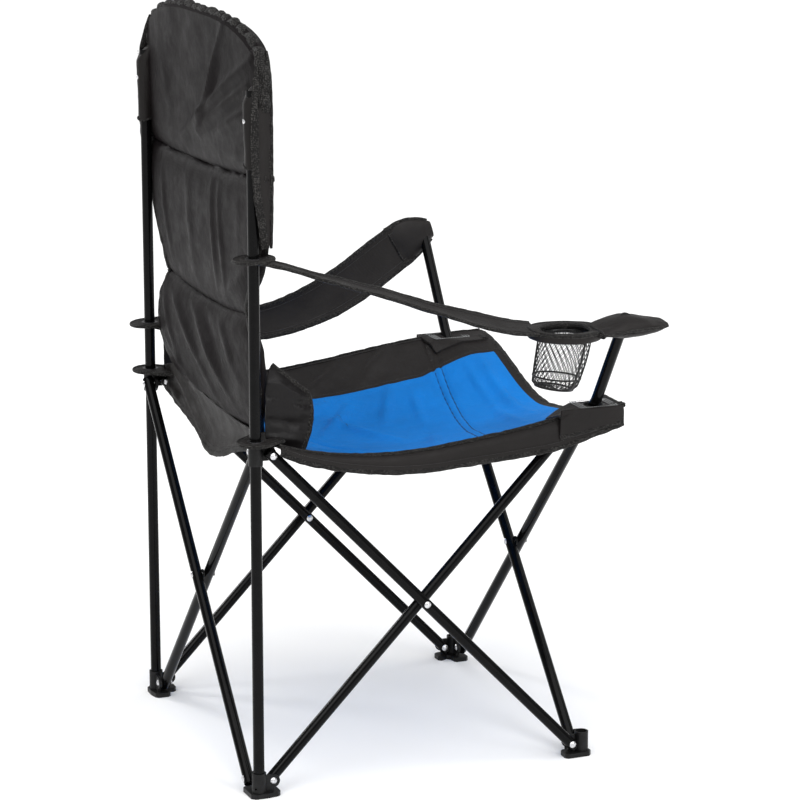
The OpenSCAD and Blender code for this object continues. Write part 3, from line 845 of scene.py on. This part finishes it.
GUSSET = [(0, 0.222, 0.626), (0.35, 0.186, 0.595), (0.62, 0.166, 0.572), (0.82, 0.166, 0.53), (1, 0.178, 0.5)]
GUSSET_BACK = [(0, 0.228, 0.62), (0.35, 0.232, 0.59), (0.62, 0.233, 0.56), (0.82, 0.233, 0.53),
               (1, 0.231, 0.512)]
GUSSET_RIDGES = mm([
    (230, 600, 175, 575, 6, 6), (235, 575, 170, 555, 5, 7), (235, 550, 170, 535, 6, -5),
    (230, 525, 180, 515, 5, 4),
])


def build_gusset(side):
    """Soft gathered panel that closes the corner between the back and the seat."""
    name = SIDES[side]
    s, t = spread(0, 1, 44, 34)
    outer = spline(GUSSET, s)
    inner = spline(GUSSET_BACK, s)
    yz = inner + (outer - inner) * t[..., None]
    y, z = yz[..., 0], yz[..., 1]
    x = 0.241 - 0.004 * t + 0.004 * sin(pi * t) * sin(pi * s)
    x = x + folds(y, z, GUSSET_RIDGES) + 0.002 * lumps(stack([0 * y, y, z], -1), 0.02, 3.0)
    grid = stack([side * minimum(x, 0.2435), y, z], -1)
    if side < 0:
        grid = grid[::-1]
    piece = shell("gusset", grid, 0.0012, 0.0012, [SATIN])
    tape = edge_tape(grid[:, -1], (side, 0, 0), 0.0042, 0.0026, 4.0 + side, 0.0008)
    obj = join("back_gusset_" + name, [piece, tape])
    stands(obj, "back_lower", "black_nylon")
    fold_flat(obj)


# ---- corner patches ----


def outline_pad(outline, z_of, over, under, middle, hole_r, rings=9):
    """Flat pad between a hole about a place and an outline, built in rings from the hole outwards."""
    n = len(outline)
    angle = np.arctan2(outline[:, 1] - middle.y, outline[:, 0] - middle.x)
    start = circle(middle, hole_r, hole_r, angle)
    t = linspace(0, 1, rings)[None, :, None]
    flat = start[:, None] * (1 - t) + outline[:, None] * t
    z = z_of(flat[..., 0], flat[..., 1])
    verts = [point for height in (z + over, z - under)
             for point in np.dstack([flat, height]).reshape(-1, 3)]
    total = n * rings
    faces = grid_faces(n, rings, flip=True, wrap_u=True) + grid_faces(n, rings, total, wrap_u=True)
    for i in range(n):
        a, b = i * rings, (i + 1) % n * rings
        c, d = a + rings - 1, b + rings - 1
        faces += [(a, b, total + b, total + a), (d, c, total + c, total + d)]
    return make_mesh("pad", verts, faces, [NYLON])


def rounded(corners, radius, step=0.003):
    """Closed outline through corners, rounded, evenly spaced, counter-clockwise."""
    corners = asarray(corners, float)
    made = []
    n = len(corners)
    for k in range(n):
        before = unit(corners[k - 1] - corners[k])
        after = unit(corners[(k + 1) % n] - corners[k])
        a, b = corners[k] + before * radius, corners[k] + after * radius
        for t in linspace(0, 1, 7):
            made.append((1 - t) ** 2 * a + 2 * t * (1 - t) * corners[k] + t**2 * b)
    return resample(vstack([made, made[:1]]), step)[:-1]


FLAP_DROPS = mm([(-310, 22), (-260, 30), (-200, 40)])


def build_patch(side):
    """Reinforced front corner of the seat, with an eyelet round the arm post and a hanging outer flap."""
    name = SIDES[side]
    hole = centre("patch_eyelet_" + name)
    front = -FRONT_LIP + 0.006 if side < 0 else -FRONT_LIP + 0.012
    inner, outer = 0.214, 0.282
    corners = [(inner, front), (outer, front - 0.003), (outer + 0.002, -0.2), (inner, -0.204)]
    outline = rounded([(side * x, y) for x, y in (corners if side > 0 else corners[::-1])], 0.005)

    def z_of(x, y):
        """Level round the eyelet, down on the seat at the inner and rear edges."""
        reach = maximum(clip(0.24 - abs(x), 0, 1), clip(y - hole.y - 0.03, 0, 1))
        share = clip(reach / 0.026, 0, 1) ** 0.8
        on_seat = minimum(seat_z(side * minimum(abs(x), EDGE_X), y) + 0.0045, PATCH_Z)
        return (PATCH_Z + 0.0005) * (1 - share) + on_seat * share

    pad = outline_pad(outline, z_of, 0.0012, 0.0022, hole, 0.0176)
    y, s = spread(front, -0.2, 30, 10)
    drop = spline(FLAP_DROPS, y)
    x = side * (outer + 0.0015 + 0.001 * sin(40 * y) - 0.004 * s)
    grid = stack([x, y, PATCH_Z + 0.001 - drop * s], -1)
    flap = shell("flap", grid if side > 0 else grid[:, ::-1], 0.0014, 0.0014)
    tape = edge_tape(grid[:, -1], (side, 0, 0), 0.004, 0.0022, 3.0, 0.0006)
    lip = [(side * x, front - 0.001, PATCH_Z + 0.0004) for x in linspace(inner + 0.004, outer, 24)]
    lip_tape = edge_tape(lip, UP, 0.0045, 0.0028, 5.0, 0.0004)
    parts = [pad, flap, tape, lip_tape]
    top = PATCH_Z + 0.0018
    for s in (-1, 1):
        for y in (0.0205, 0.0247, 0.0289):
            line = [(hole.x + t, hole.y + s * y, top) for t in (-0.021, 0.021)]
            parts.append(stitches(line, UP, THREAD_GREY, pitch=0.0032, radius=0.0006))
        line = [(hole.x + s * 0.0215, hole.y + t, top) for t in (-0.029, 0.029)]
        parts.append(stitches(line, UP, THREAD_GREY, pitch=0.0032, radius=0.0005))
    obj = join("seat_patch_cloth_" + name, parts)
    stands(obj, "arm_tube_" + name, "black_nylon", "seat_patch_" + name)


def build_tab(side):
    """Ear of the seat's rear corner, sewn flat round its eyelet."""
    name = SIDES[side]
    c = CORNER
    arc = [(c + 0.026 * cos(a), c + 0.026 * sin(a)) for a in linspace(-0.9, pi / 2 + 0.9, 16)]
    corners = arc + [(c - 0.04, 0.246), (c - 0.048, 0.222), (c - 0.022, 0.214), (c + 0.006, 0.212)]
    outline = resample(array([(side * x, y) for x, y in corners + corners[:1]]), 0.0025)[:-1]
    if side < 0:
        outline = outline[::-1]
    z_of = lambda x, y: TAB_Z + 0.002 + 0.0006 * sin(x * 200 + y * 170)
    pad = outline_pad(outline, z_of, 0.0019, 0.0019, Vector((side * c, c)), 0.0122)
    tape = sweep(lifted(outline, TAB_Z + 0.002), UP, 0.0022, 0.0028, BINDING, 8, True)
    shrink = array([side * c, c]) + (outline - [side * c, c]) * 0.8
    row = stitches(lifted(shrink, TAB_Z + 0.0041), UP)
    obj = join("seat_tab_cloth_" + name, [pad, tape, row])
    stands(obj, "slider_" + name, "black_nylon", "seat_tab_" + name)


# ---- armrests ----


def strap_knots(rows):
    """Knots: share of length, x, y, z in mm, direction across, half width (and half height) in mm."""
    table = array(rows, float)
    table[:, 1:4] /= 1000
    table[:, 7:] /= 1000
    return table


RIGHT_STRAP = strap_knots([
    (0, -252, 252, 777.5, 1, 0, 0, 20), (0.06, -256, 222, 770.5, 1, 0, 0.02, 22),
    (0.2, -270, 152, 746.5, 1, 0, 0.04, 27), (0.33, -285, 88, 727.5, 1, 0, 0.06, 31),
    (0.5, -303, 4, 699.5, 1, 0, 0.1, 34), (0.62, -317, -55, 682.5, 1, 0, 0.14, 34),
    (0.73, -330, -108, 671.5, 1, 0, 0.1, 34), (0.78, -335, -133, 669, 1, 0, 0.04, 36),
])
RIGHT_FRONT = strap_knots([
    (0, -356, -213, 665, 1, 0, 0, 36), (0.35, -359, -233, 664, 1, 0, 0, 35),
    (0.7, -361, -250, 665, 1, 0, 0, 34), (1, -362, -262, 665.5, 1, 0, 0, 33),
])
LEFT_STRAP = strap_knots([
    (0, 252, 252, 591.5, 1, 0, 0.05, 19), (0.08, 259, 205, 586, 0.9, 0, 0.4, 19),
    (0.2, 272, 140, 577, 0.5, 0.05, 0.8, 21), (0.36, 295, 50, 572, 0.25, 0.1, 0.95, 24),
    (0.52, 314, -35, 590, 0.15, 0.25, 0.95, 29), (0.66, 330, -95, 612, 0.1, 0.4, 0.9, 32),
    (0.8, 344, -150, 641, 0.08, 0.5, 0.85, 33), (0.92, 353, -193, 665, 0.06, 0.6, 0.8, 32),
    (1, 358, -212, 674, 0.05, 0.65, 0.76, 30),
])
STRAP_HALF_T = 0.0017


def strap_frame(knots, rows):
    """Values along the knots, the share reached, and unit vectors along, across and out of the strap."""
    s = linspace(0, 1, rows) * knots[-1][0]
    values = spline(knots, s)
    along = unit(gradient(values[:, :3], axis=0))
    across = unit(values[:, 3:6])
    across = unit(across - along * np.sum(across * along, 1, keepdims=True))
    return s, values, along, across, cross(across, along)


def strap_grid(knots, rows, curl, seed, cols=17):
    s, values, _, across, normal = strap_frame(knots, rows)
    t = linspace(-1, 1, cols)
    grid = values[:, None, :3] + across[:, None] * (values[:, 6:] * t)[..., None]
    wave = lumps(grid, 0.045, seed) * 0.0022 - curl * abs(t)[None, :] ** 2.5
    grid = grid + normal[:, None] * (wave * sin(pi * clip(s / s[-1], 0.06, 0.94))[:, None])[..., None]
    return grid


def strap_part(knots, rows, seed, curl=0.0035):
    grid = strap_grid(knots, rows, curl, seed)
    parts = [shell("strap", grid, STRAP_HALF_T, STRAP_HALF_T)]
    normal = grid_normals(grid)
    for column in (0, -1):
        facing = normal[len(grid) // 2, column]
        parts.append(edge_tape(grid[:, column], facing, 0.0042, 0.0026, seed + 2, 0.0004))
    for column, off in ((2, 1), (-3, 1), (2, -1), (-3, -1)):
        path = grid[:, column] + normal[:, column] * off * (STRAP_HALF_T + 0.0001)
        parts.append(stitches(path, normal[:, column] * off))
    return parts


def eyelet_end(side, eyelet, radius=0.027):
    """Rounded end of a strap, round its eyelet."""
    c = Vector((side * CORNER, CORNER))
    a = round_turn(56)
    outline = circle(c, radius, 1.06 * radius, a)
    z_of = lambda x, y: eyelet.z + 0.0004 - 0.04 * (y - c.y)
    pad = outline_pad(outline, z_of, 0.0019, 0.0019, c, 0.0122)
    tape = sweep(lifted(outline, z_of(*outline.T)), UP, 0.0024, 0.0028, BINDING, 8, True)
    ring = circle(c, 0.0185, 0.0185, a)
    row = stitches(lifted(ring, z_of(*ring.T) + 0.002), UP)
    return [pad, tape, row]


def pocket(knots, turns=28, rows=26):
    """Closed pouch along knots of (t, x, y, z, across x, y, z, half width, half height)."""
    _, values, along, across, up = strap_frame(knots, rows)
    a = round_turn(turns)
    rim = sign(cos(a)) * abs(cos(a)) ** 0.75
    high = sign(sin(a)) * abs(sin(a)) ** 0.9
    grid = values[None, :, :3] + across[None] * (values[:, 6] * rim[:, None])[..., None]
    grid = grid + up[None] * (values[:, 7] * high[:, None])[..., None]
    grid = grid + 0.0012 * lumps(grid, 0.016, 2.0)[..., None] * up[None]
    verts = list(grid.reshape(-1, 3))
    faces = grid_faces(turns, rows, wrap_u=True, flip=True)
    faces.append(tuple(i * rows for i in range(turns)))
    faces.append(tuple(i * rows + rows - 1 for i in reversed(range(turns))))
    body = make_mesh("pouch", verts, faces, [NYLON], smooth_angle=60)
    ridge = [edge_tape(grid[k, :-1], up[rows // 2], 0.0036, 0.0024, 2.0 + k, 0.0004)
             for k in (0, turns // 2)]
    mouth = sweep(grid[:, 0], along[0], 0.0028, 0.0022, BINDING, 8, True)
    return [body, mouth] + ridge


RIGHT_POCKET = strap_knots([
    (0, -360, -214, 665, 1, 0, 0, 37, 4.5), (0.22, -361, -238, 668.5, 1, 0, 0, 37, 11.5),
    (0.42, -362, -258, 670, 1, 0, 0, 36, 15), (0.62, -363, -280, 670, 1, 0, 0, 34, 13),
    (0.85, -364, -305, 670, 1, 0, 0, 28, 8), (1, -364.5, -318, 671.2, 1, 0, 0, 21, 4.5),
])
LEFT_POCKET = strap_knots([
    (0, 356, -190, 662, 0.05, 0.65, 0.76, 34, 5), (0.3, 359, -207, 671, 0.05, 0.65, 0.76, 33, 10),
    (0.6, 361, -224, 679, 0.05, 0.66, 0.75, 29, 11.5), (0.85, 362, -241, 685, 0.05, 0.7, 0.72, 21, 11),
    (1, 362.5, -256, 689, 0.05, 0.7, 0.7, 13, 6),
])


def cup_collar():
    """Round sewn pad of the right armrest that carries the cup ring."""
    a = round_turn(72)
    outline = circle(RING, 0.05, 0.051, a)
    z_of = lambda x, y: 0.6675 + 0.03 * clip(y - RING.y, 0, 1) + 0.001 * sin(x * 90)
    parts = [outline_pad(outline, z_of, 0.0024, 0.0024, RING, 0.0375)]
    for radius, w in ((0.0505, 0.003), (0.0375, 0.0024)):
        ring = circle(RING, radius, radius, a)
        parts.append(sweep(lifted(ring, z_of(*ring.T)), UP, w, w + 0.0006, BINDING, 8, True))
    out = stack([cos(a), sin(a), 0 * a], 1)
    band = array([RING.x, RING.y, 0.664]) + out * array([0.0505, 0.0515, 0])
    band[:, 2] += 0.03 * clip(band[:, 1] - RING.y, 0, 1)
    parts.append(sweep(band, out, 0.0068, 0.0016, NYLON, 12, True))
    return parts


def build_armrest(side):
    name = SIDES[side]
    body = "armrest_" + name
    knots = RIGHT_STRAP if side < 0 else LEFT_STRAP
    strap = join("armrest_cloth_" + name, strap_part(knots, 70, 3.0 + side))
    stands(strap, body, "black_nylon", body)
    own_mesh(strap)
    end = join("armrest_end_" + name, eyelet_end(side, centre("arm_eyelet_" + name)))
    stands(end, "rear_right" if side < 0 else "slider_left", "black_nylon")
    parts = pocket(RIGHT_POCKET if side < 0 else LEFT_POCKET)
    if side < 0:
        parts += cup_collar()
        parts += strap_part(RIGHT_FRONT, 14, 1.0, curl=0.001)
    pouch = join("armrest_pocket_" + name, parts)
    stands(pouch, "arm_end_right" if side < 0 else "arm_tube_left", "black_nylon")


# ---- cup holder ----

NET_TURNS = 30
NET_ROWS = 12
NET_FLOOR_RINGS = 5
NET_CORD = 0.0006


def build_cup():
    a = round_turn(72)
    ring = sweep(lifted(circle(RING, 0.04, 0.04, a), RING.z), UP, 0.0022, 0.0034, RING_PLASTIC, 12, True)
    low = BASKET_LOW + 0.001
    top = RING.z - 0.001

    def wall(turn, t):
        """Point on the net at a turn round it and a share t of its depth from the ring."""
        r = 0.0378 - 0.0065 * t + 0.0015 * sin(pi * t)
        if t > 0.9:
            r -= 0.006 * ((t - 0.9) / 0.1) ** 2
        drift = 0.016 * t**1.3
        z = top - (top - low) * t + 0.004 * t * sin(turn)
        return (RING.x + r * cos(turn), RING.y + drift + r * sin(turn), z)

    verts = [wall(2 * pi * (i + 0.5 * (j % 2)) / NET_TURNS, j / NET_ROWS)
             for j in range(NET_ROWS + 1) for i in range(NET_TURNS)]
    edges = []
    for j in range(NET_ROWS):
        for i in range(NET_TURNS):
            beside = (i + (1 if j % 2 else -1)) % NET_TURNS
            edges += [(j * NET_TURNS + i, (j + 1) * NET_TURNS + k) for k in (i, beside)]
    low_row = verts[-NET_TURNS:]
    base = len(verts) - NET_TURNS
    for k in range(1, NET_FLOOR_RINGS):
        share = 1 - k / NET_FLOOR_RINGS
        step = 1 if k < 3 else 2
        for i, (x, y, z) in enumerate(low_row):
            here = base + k * NET_TURNS + i
            cx, cy = RING.x, RING.y + 0.016
            verts.append((cx + (x - cx) * share, cy + (y - cy) * share, z - 0.0015 * (1 - share)))
            if i % step == 0:
                edges += [(here - NET_TURNS, here), (here, base + k * NET_TURNS + (i + step) % NET_TURNS)]
    bands = [ring, cords(verts, edges, NET_CORD)]
    for t, r in ((0.78, 0.0014), (0.99, 0.0016)):
        bands.append(sweep([wall(x, t) for x in a], UP, r, r, NET, 8, True))
    seam = array([wall(3.6, t) for t in linspace(0, 0.99, 24)])
    bands.append(sweep(seam, (cos(3.6), sin(3.6), 0), 0.0026, 0.0007, NET, 8))
    for k in range(8):
        turn = 2 * pi * (k + 0.5) / 8
        foot = wall(turn, 0.02)
        head = (RING.x + 0.0425 * cos(turn), RING.y + 0.0425 * sin(turn), RING.z + 0.0085)
        path = linspace(foot, head, 6)
        bands.append(sweep(path, (cos(turn), sin(turn), 0), 0.0045, 0.0008, BINDING, 8))
    holder = join("cup_holder_net", bands)
    stands(holder, "arm_end_right", "black_mesh", "cup_ring", "cup_basket")


def cords(points, edges, radius, sides=5):
    """Thin cords along edges, each a short closed prism."""
    points = asarray(points, float)
    verts, faces = [], []
    for a, b in edges:
        along = unit(points[b] - points[a])
        side = unit(cross(along, (0.3, 0.2, 1.0)))
        up = cross(side, along)
        start = len(verts)
        for end in (a, b):
            for k in range(sides):
                turn = 2 * pi * k / sides
                verts.append(points[end] + radius * (side * cos(turn) + up * sin(turn)))
        faces += tube_faces(2, sides, start)
    return make_mesh("net", verts, faces, [NET], smooth_angle=80)


# ---- studio ----


def build_studio():
    pale = Nodes("pale_floor")
    pale.set(Base_Color=(0.93, 0.93, 0.93, 1), Roughness=0.9, Specular_IOR_Level=0.1)
    half = 30.0
    floor = make_mesh("floor", [(-half, -half, 0), (half, -half, 0), (half, half, 0), (-half, half, 0)],
                      [(0, 1, 2, 3)], [pale.mat])
    world = bpy.data.worlds.new("studio")
    world.use_nodes = True
    sky = world.node_tree.nodes["Background"]
    sky.inputs["Color"].default_value = (1, 1, 1, 1)
    sky.inputs["Strength"].default_value = 0.34
    bpy.context.scene.world = world
    bpy.context.scene.view_settings.view_transform = "Standard"
    lights = [
        ("overhead", "SUN", (-1.6, 0.6, 4.0), radians(80), 2.9),
        ("sheen", "AREA", (3.6, 2.3, 2.4), 1.1, 56.0),
        ("key", "AREA", (-2.6, 3.0, 2.4), 1.4, 14.0),
        ("fill", "AREA", (-3.4, -1.2, 1.8), 1.4, 34.0),
        ("front", "AREA", (0.5, -3.0, 2.2), 1.8, 14.0),
    ]
    for name, kind, place, size, power in lights:
        data = bpy.data.lights.new(name, kind)
        data.energy = power
        if kind == "SUN":
            data.angle = size
        else:
            data.shape = "DISK"
            data.size = size
        lamp = bpy.data.objects.new(name, data)
        lamp.location = place
        lamp.rotation_euler = (Vector((0, 0, 0.55)) - Vector(place)).to_track_quat("-Z", "Y").to_euler()
        bpy.context.scene.collection.objects.link(lamp)


def build_camera():
    data = bpy.data.cameras.new("camera")
    data.sensor_width = 36.0
    data.lens = 141.456
    camera = bpy.data.objects.new("camera", data)
    camera.location = placed(-4.2819, 1.5997, 1.5743)
    look = Vector((0.90781, -0.35221, -0.22767))
    camera.rotation_euler = look.to_track_quat("-Z", "Y").to_euler()
    bpy.context.scene.collection.objects.link(camera)
    bpy.context.scene.camera = camera


# ---- assembly ----

build_studio()
build_camera()
finish_frame()
build_back()
build_seat()
build_skirt()
for side in (-1, 1):
    build_sleeve(side)
    build_gusset(side)
    build_patch(side)
    build_tab(side)
    build_armrest(side)
build_cup()
